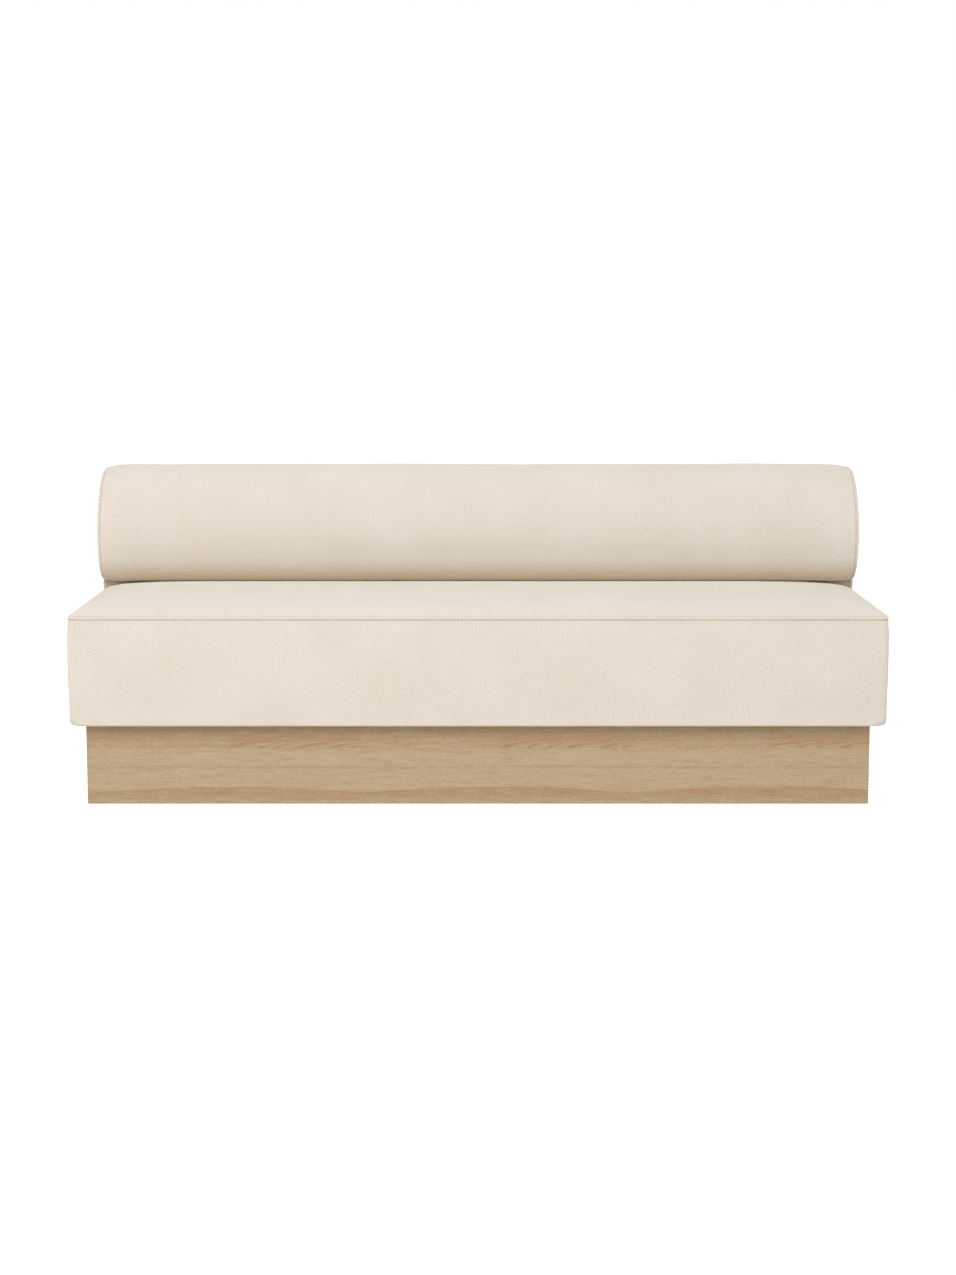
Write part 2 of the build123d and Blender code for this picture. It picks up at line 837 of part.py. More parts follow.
def back_nodes():
    """Back frame, boards, foam, covers and fastenings."""
    half = rib_thickness / 2
    nodes = {
        "back_left_end_rib": rib_solid(-rib_half_x, -rib_half_x + rib_thickness, 0, rib_floor_z),
        "back_right_end_rib": rib_solid(rib_half_x - rib_thickness, rib_half_x, 0, rib_floor_z),
        "back_foot_rail": foot_rail(),
        "back_front_board": front_board(),
        "back_bent_board": bent_board(),
        "back_bolts": group(back_bolt(x) for x in back_bolt_places()),
        "back_inner_ribs": group(rib_solid(x - half, x + half, 0, rib_floor_z) for x in rib_places()),
        "back_dust_cover": back_dust_cover(),
    }
    nodes.update(back_foams())
    nodes.update(back_covers())
    return nodes


def shared_fastener_nodes():
    """The washers and T-nuts, alike on the seat's bolts and the back's."""
    seat_places = seat_bolt_places()
    back_places = back_bolt_places()
    block_top = frame_floor_z + fixing_block_height
    washers = [washer_under(x, y, base_z - cleat_side) for x, y in seat_places]
    tee_nuts = [tee_nut_up(x, y, block_top) for x, y in seat_places]
    return {
        "bolt_washers": group(washers + [back_washer(x) for x in back_places]),
        "tee_nuts": group(tee_nuts + [back_tee_nut(x) for x in back_places]),
    }


os.makedirs("parts", exist_ok=True)
all_nodes = {**plinth_nodes(), **seat_nodes(), **back_nodes(), **shared_fastener_nodes()}
for name, shape in all_nodes.items():
    export_step(shape, f"parts/{name}.step")
print(len(all_nodes), "nodes")
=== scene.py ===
import json
import math

import bmesh
import bpy
import numpy as np
from mathutils import Matrix, Vector, kdtree


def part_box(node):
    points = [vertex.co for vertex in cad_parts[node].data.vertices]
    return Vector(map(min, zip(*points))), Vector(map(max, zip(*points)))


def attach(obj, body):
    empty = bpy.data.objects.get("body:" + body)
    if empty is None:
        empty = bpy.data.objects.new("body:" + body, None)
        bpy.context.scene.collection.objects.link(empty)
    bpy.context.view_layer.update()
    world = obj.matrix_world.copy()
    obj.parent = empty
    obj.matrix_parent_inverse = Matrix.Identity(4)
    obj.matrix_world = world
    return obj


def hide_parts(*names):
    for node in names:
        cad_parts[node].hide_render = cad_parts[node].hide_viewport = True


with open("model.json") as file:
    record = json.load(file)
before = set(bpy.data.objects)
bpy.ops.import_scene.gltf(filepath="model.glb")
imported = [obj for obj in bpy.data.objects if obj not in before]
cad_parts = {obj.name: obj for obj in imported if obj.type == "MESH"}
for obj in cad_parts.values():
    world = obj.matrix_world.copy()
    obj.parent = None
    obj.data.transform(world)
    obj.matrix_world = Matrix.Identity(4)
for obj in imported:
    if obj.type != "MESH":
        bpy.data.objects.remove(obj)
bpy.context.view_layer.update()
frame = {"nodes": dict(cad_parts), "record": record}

# A dining sofa: a full-length upholstered bench seat on an inset oak-veneered plinth, with a
# round bolster back. Metres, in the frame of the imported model.

MM = 0.001
SCENE = bpy.context.scene
SCENE.view_settings.view_transform = "Standard"

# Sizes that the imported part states, with what the cloth stands off its solids
seat_low, seat_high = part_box("seat_border_cover")
_, wrap_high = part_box("back_wrap_cover")
panel_low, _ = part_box("back_right_end_cover")
SEAT_HALF = seat_high.x + 4.8 * MM
SEAT_FRONT = seat_low.y
SEAT_REAR = seat_high.y
SEAT_FLOOR = seat_low.z
SEAT_SEAM = seat_high.z - 3.2 * MM
NECK_Y = SEAT_REAR + 0.3 * MM
REAR_Y = wrap_high.y
END_SEAM = panel_low.x + 4.0 * MM
END_REACH = 11.4 * MM

# Form of the seat, in millimetres. The face goes from the underside to the seam, as (inset, height
# over the underside), and the crown on from there to the middle, as (inset, height over the seam).
FACE = ((1.9, 19), (1.8, 42), (1.15, 67), (0.9, 84), (0.2, 118), (0.1, 142), (0.1, 178),
        (0.5, 200), (0.8, 216), (1.5, 236), (2.5, 251), (3.4, 261.8))
CROWN = ((3.4, 0), (2.5, 2.4), (2.1, 5.0), (3.0, 7.4), (5.2, 9.3), (8.1, 11.4), (12.9, 14.6),
         (20.1, 18.8), (34.5, 25.0), (67.9, 31.5), (130, 35.3), (180, 36.9), (225, 37.6))

# The seat's lower edge and corners, and its cover's hem turned under round the dust cover
BOTTOM_ROUND = 5 * MM
BOTTOM_SAG = 2.4 * MM
CORNER_ROUND = 18 * MM
CORNER_GROWTH = 0.3
TIP_ROUND = 18 * MM
TIP_HEIGHT = 18 * MM
HEM = 45 * MM
SHEET_RISE = 1.8 * MM
HEM_LEVELS = 4

# A seam: how deep and how far from it the cloth rolls in, the stitched cleft, and the reach of the
# painted shade along the seat's seam and the back's end seams
SEAM_DEPTH = 0.8 * MM
SEAM_REACH = 1.9 * MM
CLEFT_DEPTH = 0.7 * MM
CLEFT_REACH = 0.9 * MM
SEAM_SHADE_REACH = 2.2 * MM
END_SHADE_REACH = 1.1 * MM

# The row of single stitches over the seat's seam, and the furrow that it pulls
STITCH_RISE = 11.0 * MM
STITCH_DEPTH = 0.6 * MM
STITCH_REACH = 2.4 * MM
STITCH_PITCH = 9.7 * MM
STITCH_LENGTH = 6.4 * MM
STITCH_THICKNESS = 1.3 * MM
STITCH_PROUD = 0.15 * MM
STITCH_LEAN = 4

# Points round the seat: along its rear, left side, front and right side, round each corner, and
# the one at the front's middle
SEAT_SIDES = (190, 46, 190, 46)
SEAT_ARC = 8
FRONT_MIDDLE = SEAT_SIDES[0] + SEAT_SIDES[1] + 2 * SEAT_ARC + SEAT_SIDES[2] // 2

# Form of the back, in millimetres. The wrap draws in towards its end seam, as (way from the seam,
# inset), and the end panel goes on from there to its middle, as (share of END_REACH, inset).
WRAP = ((0, 8.3), (11, 6.3), (27, 3.4), (43, 1.5), (75, 0))
PANEL = ((0, 8.3), (0.3, 10.2), (0.55, 12.1), (0.78, 16.2), (0.92, 42.4), (1.0, 81.0))
ROLL_TOP = wrap_high.z - 3.4 * MM
ROLL_RADIUS = 167.6 * MM
ROLL_Y = NECK_Y + 79 * MM
ROLL_Z = ROLL_TOP - ROLL_RADIUS

# How far the neck draws in with the roll, on the wrap and on the end panel, and how far the end
# panel's foot lifts with it
NECK_SHARE = 0.107
PANEL_SHARE = 0.4
LIFT_SHARE = 0.1

# The roll is fuller low down at its front, and more so near its ends: how much of its radius, at
# which turn under the level and how far round
LOW_BULGE, LOW_TURN, LOW_SPREAD = 0.034, 0.66, 0.36
END_BULGE, END_TURN, END_SPREAD = 0.076, 0.44, 0.616
BULGE_FADE = 0.12

# Where the roll rests on the seat, and the tuck between them
REST_Z = SEAT_SEAM + (CROWN[-1][1] + 0.7) * MM
REST_ROUND = 2 * MM
TUCK_OPEN = 1.0 * MM
TUCK_DEPTH = 3 * MM

# The slab under the roll: the round at its foot behind, and up to where its cover can't swell
FOOT_ROUND = 4 * MM
SLAB_TOP = 0.51

# Points round the back: up the neck, in the tuck, over the roll's front and top, and down behind
NECK_STEPS = 30
TUCK = ((0, -1.0), (0.25, -0.6), (1, -0.3))
ROLL_STEPS = 64
TOP_STEPS = 30
REAR_STEPS = 44
FOOT_STEPS = 4

# Places along the back between its drawn-in ends
WRAP_REACH = 76 * MM
WRAP_STEPS = 88

# Unevenness of the padding, and the small puckers beside the end seams
WAVE = 0.5 * MM
PUCKER = 0.45 * MM
PUCKER_PITCH = 29 * MM

# The simulation: the coarse copy's mesh, the pressure in it, its length, and what it gives
COARSE = 14 * MM
PRESSURE = 4
FRAMES = 20
SWELL_REACH = 3 * MM

# Twill ribs to the metre, across the cloth and up it
RIBS_ACROSS = 104
RIBS_UP = 149

# The plinth's boards: their eased edges, the width of a leaf of veneer, where its arches and its
# dips begin, and the arches' feet, fall and number to the metre
EDGE_ROUND = 0.9 * MM
LEAF = 0.668
ARCH_START = 20.955
DIP_START = 20.328
ARCH_FOOT = 0.142
ARCH_FALL = 300
ARCH_LINES = 16.4

# The camera, as fitted to the photograph's perspective
CAMERA_PLACE = (0, -5.888, 1.206)
CAMERA_TILT = 8.09
CAMERA_LENS = 64.46


def eased(low, high, value):
    """0 up to low, 1 from high on, eased between."""
    share = np.clip((np.asarray(value, float) - low) / (high - low), 0, 1)
    return share * share * (3 - 2 * share)


def run_of(line):
    """The length run along a line at each of its points."""
    return np.concatenate([[0], np.cumsum(np.linalg.norm(np.diff(line, axis=0), axis=1))])


def fair_line(points):
    """A smooth line through points, with the length run at each of its places."""
    pts = np.array([points[0], *points, points[-1]], float)
    line = []
    for a, b, c, d in zip(pts, pts[1:], pts[2:], pts[3:]):
        for t in np.linspace(0, 1, 24, endpoint=False):
            bend = (2 * a - 5 * b + 4 * c - d) * t**2 + (3 * b - a - 3 * c + d) * t**3
            line.append(b + 0.5 * ((c - a) * t + bend))
    line = np.array([*line, pts[-1]])
    return line, run_of(line)


def along(line, run, places):
    """Points and unit directions at lengths along a line."""
    def at(lengths):
        return np.stack([np.interp(lengths, run, values) for values in line.T], axis=1)

    step = 0.2 * MM
    ways = at(np.minimum(places + step, run[-1])) - at(np.maximum(places - step, 0))
    return at(places), ways / np.linalg.norm(ways, axis=1, keepdims=True)


def seam_hollow(distance):
    """How far cloth rolls into a seam: a quarter round on each side, and the stitched cleft."""
    share = np.clip(1 - np.abs(distance) / SEAM_REACH, 0, 1)
    cleft = np.clip(1 - np.abs(distance) / CLEFT_REACH, 0, 1)
    return SEAM_DEPTH * (1 - np.sqrt(1 - share**2)) + CLEFT_DEPTH * cleft


def stitch_hollow(distance):
    """The shallow furrow that a topstitch pulls."""
    share = np.clip(np.abs(distance - STITCH_RISE) / STITCH_REACH, 0, 1)
    return STITCH_DEPTH * 0.5 * (1 + np.cos(math.pi * share))


def cover_from_rings(name, rings):
    """A closed cover: the first ring is filled, and each further one is extruded from the last."""
    bm = bmesh.new()
    spoke = bm.verts.layers.int.new("spoke")
    level = bm.verts.layers.int.new("level")
    bmesh.ops.create_circle(bm, cap_ends=True, segments=len(rings[0]), radius=1)
    for i, vert in enumerate(bm.verts):
        vert[spoke] = i
    face = next(iter(bm.faces))
    for number, ring in enumerate(rings):
        if number:
            made = bmesh.ops.extrude_face_region(bm, geom=[face])["geom"]
            if number > 1:
                bmesh.ops.delete(bm, geom=[face], context="FACES_ONLY")
            face = next(g for g in made if isinstance(g, bmesh.types.BMFace))
        for vert in face.verts:
            vert.co = ring[vert[spoke]]
            vert[level] = number
    bmesh.ops.recalc_face_normals(bm, faces=bm.faces)
    return new_piece(name, bm)


def new_piece(name, bm):
    """A smooth-shaded object from a bmesh."""
    mesh = bpy.data.meshes.new(name)
    bm.to_mesh(mesh)
    bm.free()
    mesh.shade_smooth()
    piece = bpy.data.objects.new(name, mesh)
    SCENE.collection.objects.link(piece)
    return piece


def places_of(piece):
    """The piece's vertices as an array."""
    co = np.empty(len(piece.data.vertices) * 3)
    piece.data.vertices.foreach_get("co", co)
    return co.reshape(-1, 3)


def outward_of(piece):
    """The piece's vertex normals as an array."""
    way = np.empty(len(piece.data.vertices) * 3)
    piece.data.vertex_normals.foreach_get("vector", way)
    return way.reshape(-1, 3)


def move_to(piece, co):
    """Puts the piece's vertices in new places."""
    piece.data.vertices.foreach_set("co", co.ravel())
    piece.data.update()


def marks_of(piece, name):
    """A whole-number mark that each vertex got while its mesh was made."""
    marks = np.empty(len(piece.data.vertices), np.int32)
    piece.data.attributes[name].data.foreach_get("value", marks)
    return marks


def mark_cloth(piece, name, shares):
    """Stores a share from 0 to 1 at each vertex, such as how much painted shade falls along a
    seam.
    """
    layer = piece.data.attributes.new(name, "FLOAT", "POINT")
    layer.data.foreach_set("value", shares.astype(np.float32))


def lay_cloth(piece, map_name, across, up):
    """A UV map in metres from values at every corner of every face."""
    layer = piece.data.uv_layers.new(name=map_name)
    layer.data.foreach_set("uv", np.stack([across, up], axis=1).ravel())


def corner_marks(piece):
    """For every face corner: its vertex, spoke and level, and its face's own marks.

    Those are the face's lowest level, its highest level and its last spoke."""
    mesh = piece.data
    verts = np.empty(len(mesh.loops), np.int32)
    mesh.loops.foreach_get("vertex_index", verts)
    totals = np.empty(len(mesh.polygons), np.int32)
    mesh.polygons.foreach_get("loop_total", totals)
    faces = np.repeat(np.arange(len(totals)), totals)
    spoke = marks_of(piece, "spoke")[verts]
    level = marks_of(piece, "level")[verts]
    low = np.full(len(totals), 10**6)
    high = np.zeros(len(totals), int)
    np.minimum.at(low, faces, level)
    np.maximum.at(high, faces, level)
    last = np.zeros(len(totals), int)
    np.maximum.at(last, faces, spoke)
    return verts, spoke, level, low[faces], high[faces], last[faces]


def girth_at(ring, spoke, last, on_side):
    """The length run round a ring at every face corner: the whole of it where a face closes it."""
    girth = run_of(np.array([*ring, ring[0]]))
    closing = (spoke == 0) & (last == len(ring) - 1) & on_side
    return np.where(closing, girth[-1], girth[spoke])


# Padding: the cover swells between its seams


def swell(piece, held):
    """Blows a coarse copy of the cover up against its held lines.

    Gives how far each vertex of the fine cover swells, about the mean."""
    blank = piece.copy()
    blank.data = piece.data.copy()
    SCENE.collection.objects.link(blank)
    bpy.context.view_layer.objects.active = blank
    remesh = blank.modifiers.new("even", "REMESH")
    remesh.mode = "VOXEL"
    remesh.voxel_size = COARSE
    bpy.ops.object.modifier_apply(modifier=remesh.name)
    start = places_of(blank)
    group = blank.vertex_groups.new(name="held")
    group.add([int(i) for i in np.flatnonzero(held(start))], 1.0, "REPLACE")
    cloth = blank.modifiers.new("cover", "CLOTH")
    cloth.settings.quality = 6
    cloth.settings.mass = 0.4
    cloth.settings.tension_stiffness = 40
    cloth.settings.compression_stiffness = 40
    cloth.settings.bending_stiffness = 2
    cloth.settings.vertex_group_mass = "held"
    cloth.settings.use_pressure = True
    cloth.settings.uniform_pressure_force = PRESSURE
    cloth.settings.effector_weights.gravity = 0
    cloth.point_cache.frame_start = 1
    cloth.point_cache.frame_end = FRAMES
    for number in range(1, FRAMES + 1):
        SCENE.frame_set(number)
    blown = blank.evaluated_get(bpy.context.evaluated_depsgraph_get())
    moved = places_of(blown) - start
    outward = outward_of(blank)
    SCENE.frame_set(1)
    rise = np.clip(np.sum(moved * outward, axis=1), 0, None)
    rise = rise / max(rise.max(), 1e-6)
    tree = kdtree.KDTree(len(start))
    for i, place in enumerate(start):
        tree.insert(place, i)
    tree.balance()
    fine = places_of(piece)
    gain = np.empty(len(fine))
    for i, place in enumerate(fine):
        near = tree.find_n(place, 6)
        weights = [1 / (distance + 4 * MM) ** 2 for _, _, distance in near]
        gain[i] = sum(w * rise[k] for w, (_, k, _) in zip(weights, near)) / sum(weights)
    bpy.data.objects.remove(blank)
    free = ~held(fine)
    gain = np.where(free, gain - gain[free].mean(), 0)
    lowest, highest = (round(float(g * SWELL_REACH / MM), 2) for g in (gain.min(), gain.max()))
    print("swelling of", piece.name, "from", lowest, "to", highest, "mm about its mean")
    return gain * SWELL_REACH


# Seat cushion


def seat_ring(z, inset, rear_inset, radius):
    """One level of the seat: a rounded rectangle, from the rear right corner round by the left."""
    x = SEAT_HALF - inset
    y0 = SEAT_FRONT + inset
    y1 = SEAT_REAR - rear_inset
    corners = ((x - radius, y1), (-x + radius, y1), (-x, y1 - radius), (-x, y0 + radius),
               (-x + radius, y0), (x - radius, y0), (x, y0 + radius), (x, y1 - radius))
    middles = ((-x + radius, y1 - radius), (-x + radius, y0 + radius),
               (x - radius, y0 + radius), (x - radius, y1 - radius))
    points = []
    for side in range(4):
        a, b = corners[2 * side], corners[2 * side + 1]
        for t in np.arange(SEAT_SIDES[side]) / SEAT_SIDES[side]:
            points.append((a[0] + (b[0] - a[0]) * t, a[1] + (b[1] - a[1]) * t, z))
        for t in np.arange(SEAT_ARC) / SEAT_ARC:
            turn = math.radians(90 + 90 * side + 90 * t)
            points.append((middles[side][0] + radius * math.cos(turn),
                           middles[side][1] + radius * math.sin(turn), z))
    return np.array(points)


def seat_levels():
    """Levels from the middle of the underside up to the middle of the crown.

    Each is (z, inset, rear inset, corner radius, way from the seam)."""
    window = HEM + 7 * MM
    rear_window = HEM - 0.3 * MM
    under = SEAT_FLOOR + SHEET_RISE
    lowest = SEAT_FLOOR - BOTTOM_SAG
    levels = [(under, window, rear_window, 1 * MM), (SEAT_FLOOR, window, rear_window, 1 * MM),
              (SEAT_FLOOR, window - 14 * MM, rear_window - 20 * MM, 8 * MM),
              (lowest, 14 * MM, 8 * MM, CORNER_ROUND + TIP_ROUND)]
    foot = [(lowest + BOTTOM_ROUND * (1 - math.cos(turn)), BOTTOM_ROUND * (1 - math.sin(turn)))
            for turn in np.linspace(0, math.pi / 2, 6)]
    foot += [(lowest + rise * MM, 0) for rise in (8, 12, 16)]
    for z, inset in foot:
        tip = TIP_ROUND * max(0, 1 - (z - lowest) / TIP_HEIGHT)
        levels.append((z, inset + FACE[0][0] * MM, 0, CORNER_ROUND + tip))
    levels = [(*level, -1.0) for level in levels]
    line, run = fair_line([(inset * MM, SEAT_FLOOR + height * MM) for inset, height in FACE])
    coarse = np.linspace(0, run[-1] - 14 * MM, 30)
    close = run[-1] - np.array([10, 7, 4.5, 3.4, 2.6, 1.9, 1.3, 0.8, 0.3, 0]) * MM
    spots, ways = along(line, run, np.concatenate([coarse, close]))
    below = run[-1] - np.concatenate([coarse, close])
    for (inset, z), (run_in, run_up), gap in zip(spots, ways, below):
        sink = float(seam_hollow(gap))
        levels.append((z - run_in * sink, inset + run_up * sink, 0, CORNER_ROUND, -gap))
    line, run = fair_line([(inset * MM, SEAT_SEAM + height * MM) for inset, height in CROWN])
    close = np.array([0.3, 0.8, 1.3, 1.9, 2.6, 3.6, 5.0, 6.6, 8.0, 9.0, 9.7, 10.4, 11, 11.6, 12.3,
                      13.5, 16.5]) * MM
    wide = 20.5 * MM + (run[-1] - 20.5 * MM) * np.linspace(0, 1, 27) ** 1.25
    places = np.concatenate([close, wide])
    spots, ways = along(line, run, places)
    for (inset, z), (run_in, run_up), rise in zip(spots, ways, places):
        sink = float(seam_hollow(rise) + stitch_hollow(rise))
        inset, z = inset + run_up * sink, z - run_in * sink
        radius = CORNER_ROUND + inset * CORNER_GROWTH
        levels.append((z, inset, 0, radius, rise))
    top = levels[-1]
    for further, rise in ((22, 0.5), (46, 0.9), (72, 1.1)):
        shrink = (top[3] - 6 * MM) * further / 72
        levels.append((top[0] + rise * MM, top[1] + further * MM, top[2] + further * MM,
                       top[3] - shrink * 0.9, top[4] + further * MM))
    return levels


def make_seat_cushion():
    """The seat's whole cover as one closed cushion."""
    levels = seat_levels()
    rings = [seat_ring(z, inset, rear, radius) for z, inset, rear, radius, _ in levels]
    piece = cover_from_rings("seat_cushion", rings)
    rises = np.array([level[4] for level in levels])
    seam_level = int(np.flatnonzero(rises == 0)[0])
    verts, spoke, level, low, high, last = corner_marks(piece)
    co = places_of(piece)[verts]
    seam = rings[seam_level]
    round_it = girth_at(seam, spoke, last, high > low) - run_of(seam)[FRONT_MIDDLE]
    border = (low >= HEM_LEVELS) & (high <= seam_level)
    top = low >= seam_level
    behind, aside = co[:, 1] - SEAT_FRONT, SEAT_HALF - np.abs(co[:, 0])
    frontal = aside / (aside + behind + 1 * MM)
    over = np.where(top, co[:, 2] - SEAT_SEAM, 0)
    sideways = np.clip(co[:, 0] / 0.3, -1, 1) * over * (1 - frontal)
    climb = run_of(np.array([ring[FRONT_MIDDLE] for ring in rings]))
    across = np.where(border, round_it, co[:, 0] - sideways)
    up = SEAT_SEAM + np.where(border, (climb - climb[seam_level])[level], behind + over * frontal)
    lay_cloth(piece, "cloth", across, up)
    co = places_of(piece)
    way = outward_of(piece)
    shift = seat_unevenness(co) + swell(piece, seat_is_held)
    lift = marks_of(piece, "level")
    distance = rises[lift]
    loose = np.where(distance > 0, eased(12 * MM, 55 * MM, distance), 0)
    over_foot = eased(SEAT_FLOOR + 20 * MM, SEAT_FLOOR + 80 * MM, co[:, 2])
    side = eased(14 * MM, 70 * MM, -distance) * over_foot
    loose = np.where((distance < 0) & (lift >= HEM_LEVELS), side, loose)
    loose *= 1 - eased(SEAT_REAR - 60 * MM, SEAT_REAR - 18 * MM, co[:, 1])
    move_to(piece, co + way * (shift * loose)[:, None])
    # Painted shade: a share by which the cloth's colour darkens along the seat's seam, where shade
    # falls in the fold
    painted_crease_shade = np.where(lift >= HEM_LEVELS, np.exp(-(distance / SEAM_SHADE_REACH) ** 2), 0)
    mark_cloth(piece, "painted_crease_shade", painted_crease_shade)
    return piece, rings, rises


def seat_is_held(co):
    """Where the seat's cover can't move: round its seam, under it and behind."""
    at_seam = np.abs(co[:, 2] - SEAT_SEAM) < 13 * MM
    outside = (np.abs(co[:, 0]) > SEAT_HALF - 14 * MM) | (co[:, 1] < SEAT_FRONT + 14 * MM)
    under = co[:, 2] < SEAT_FLOOR + 14 * MM
    behind = co[:, 1] > SEAT_REAR - 12 * MM
    return (at_seam & outside) | under | behind


def seat_unevenness(co):
    """The slight waves of padding laid by hand."""
    x, y, z = co.T
    return WAVE * (np.sin(9.1 * x + 5.3 * y + 1.2) + 0.7 * np.sin(17.3 * x - 8.9 * y + 7.1 * z)
                   + 0.5 * np.sin(31.0 * x + 3.0 + 11.0 * z) * np.sin(13.0 * y + 0.8))


def make_topstitch(rings, rises):
    """A row of single stitches over the seat's seam, along the front and both sides."""
    level = int(np.argmin(np.abs(rises - STITCH_RISE)))
    first = SEAT_SIDES[0] + SEAT_ARC
    last = first + SEAT_SIDES[1] + SEAT_SIDES[2] + SEAT_SIDES[3] + 2 * SEAT_ARC
    ring = rings[level][first:last + 1]
    below, over = rings[level - 2][first:last + 1], rings[level + 2][first:last + 1]
    run = run_of(ring)
    size = Matrix.Diagonal((STITCH_LENGTH / 2, STITCH_THICKNESS / 2, STITCH_THICKNESS / 2, 1))
    lengthwise = Matrix.Rotation(math.radians(90), 4, "Y")
    bm = bmesh.new()
    count = int(run[-1] / STITCH_PITCH)
    for i in range(count):
        place = (i + 0.5) * run[-1] / count
        spots = [np.array([np.interp(at, run, ring[:, k]) for k in range(3)])
                 for at in (place - 2 * MM, place, place + 2 * MM)]
        up = np.array([np.interp(place, run, (over - below)[:, k]) for k in range(3)])
        way = Vector(spots[2] - spots[0]).normalized()
        up = Vector(up).normalized()
        out = way.cross(up).normalized()
        up = out.cross(way)
        turn = Matrix((way, up, out)).transposed().to_4x4()
        seat = Matrix.Translation(Vector(spots[1]) + out * STITCH_PROUD)
        lean = Matrix.Rotation(math.radians(STITCH_LEAN * math.sin(7.3 * i)), 4, "Z")
        bmesh.ops.create_uvsphere(bm, u_segments=6, v_segments=5, radius=1,
                                  matrix=seat @ turn @ lean @ size @ lengthwise)
    bmesh.ops.recalc_face_normals(bm, faces=bm.faces)
    return new_piece("seat_topstitch", bm)


# Back cushion


def rested(z):
    """A height on the roll's round, flattened where the roll rests on the seat."""
    over = z - REST_Z
    return REST_Z + 0.5 * (over + math.sqrt(over**2 + REST_ROUND**2))


def back_ring(x, inset, sink, lift, gap):
    """The side view of the back at x, drawn in all round by the inset.

    The cloth sinks into a seam by sink and its foot lifts by lift. The gap is the way from the end
    seam, negative on the end panel."""
    drawn = min(inset, PANEL[0][1] * MM)
    y0 = NECK_Y + drawn * NECK_SHARE + (inset - drawn) * PANEL_SHARE + sink
    y1 = REAR_Y - inset - sink
    radius = ROLL_RADIUS - inset - sink
    top = ROLL_Z + radius
    bottom = SEAT_FLOOR + lift
    meet = math.acos((ROLL_Y - y0) / radius)
    fuller = END_BULGE * float(1 - eased(10 * MM, 140 * MM, gap))
    points = []
    meet_z = rested(ROLL_Z - radius * math.sin(meet))
    for t in np.arange(NECK_STEPS) / NECK_STEPS:
        points.append((y0, bottom + (meet_z - TUCK_OPEN - bottom) * t))
    tuck = TUCK_DEPTH * float(1 - eased(1 * MM, 8 * MM, -gap))
    for share, rise in TUCK:
        points.append((y0 + tuck * share, meet_z + TUCK_OPEN * rise))
    for t in np.arange(ROLL_STEPS) / ROLL_STEPS:
        turn = -meet + (math.pi / 2 + meet) * t
        swelled = LOW_BULGE * math.exp(-((turn + LOW_TURN) / LOW_SPREAD) ** 2)
        swelled += fuller * math.exp(-((turn + END_TURN) / END_SPREAD) ** 2)
        full = 1 + swelled * (1 - math.exp(-((turn + meet) / BULGE_FADE) ** 2))
        points.append((ROLL_Y - radius * full * math.cos(turn),
                       rested(ROLL_Z + radius * full * math.sin(turn))))
    rear_radius = y1 - ROLL_Y
    for t in np.arange(TOP_STEPS) / TOP_STEPS:
        turn = math.pi / 2 * t
        points.append((ROLL_Y + rear_radius * math.sin(turn),
                       top - rear_radius * (1 - math.cos(turn))))
    high = top - rear_radius
    for t in np.arange(REAR_STEPS) / REAR_STEPS:
        points.append((y1, high + (bottom + FOOT_ROUND - high) * t))
    for t in np.arange(FOOT_STEPS) / FOOT_STEPS:
        turn = math.pi / 2 * t
        points.append((y1 - FOOT_ROUND * (1 - math.cos(turn)),
                       bottom + FOOT_ROUND * (1 - math.sin(turn))))
    in_window = abs(x) < END_SEAM - HEM
    rise = SHEET_RISE if in_window else 0
    foot_y = y1 - FOOT_ROUND
    under = ((foot_y, 0), (REAR_Y - HEM + 0.1 * MM, 0), (REAR_Y - HEM, rise),
             ((NECK_Y + REAR_Y) / 2, rise), (NECK_Y + HEM, rise), (NECK_Y + HEM - 0.1 * MM, 0))
    for number, (y, up) in enumerate(under):
        y = max(min(y, foot_y - 0.3 * MM * number), y0 + 0.3 * MM * (len(under) - number))
        points.append((y, bottom + up))
    return np.array([(x, y, z) for y, z in points])


def back_stations():
    """Places from one end to the other: (x, inset, sink, lift, gap), as back_ring takes them."""
    line, run = fair_line([(reach * MM, inset * MM) for reach, inset in WRAP])
    close = np.array([0, 0.4, 0.9, 1.4, 2.0, 2.8, 4.5, 7, 10, 14, 19, 25, 32, 38, 44.8, 45.2, 52,
                      60, 68]) * MM
    half = []
    spots, ways = along(line, run, close)
    for (reach, inset), (run_in, run_up), gap in zip(spots, ways, close):
        half.append((END_SEAM - reach, inset, float(seam_hollow(gap)), 0.0, gap))
    inner = END_SEAM - WRAP_REACH
    for i in range(WRAP_STEPS + 1):
        half.append((inner * (1 - i / WRAP_STEPS), 0.0, 0.0, 0.0,
                     WRAP_REACH + inner * i / WRAP_STEPS))
    line, run = fair_line([(END_REACH * share, inset * MM) for share, inset in PANEL])
    places = np.concatenate([np.array([0.4, 0.9, 1.4, 2.0, 2.8, 4.5, 7]) * MM,
                             np.linspace(9 * MM, run[-1], 18)])
    spots, ways = along(line, run, places)
    ends = []
    for (reach, inset), (run_out, run_in), gap in zip(spots, ways, places):
        sink = float(seam_hollow(gap))
        lift = max((inset - PANEL[0][1] * MM) * LIFT_SHARE, 0)
        ends.append((END_SEAM + reach - run_in * sink, inset, run_out * sink, lift, -gap))
    for further, proud in ((10, 0.2), (20, 0.36), (30, 0.48), (40, 0.56), (49, 0.6)):
        inset = (PANEL[-1][1] + further) * MM
        lift = (inset - PANEL[0][1] * MM) * LIFT_SHARE
        ends.append((END_SEAM + END_REACH + proud * MM, inset, 0.0, lift,
                     -run[-1] - further * MM))
    right = ends[::-1] + half
    left = [(-x, *rest) for x, *rest in right[:-1]]
    return left + right[::-1]


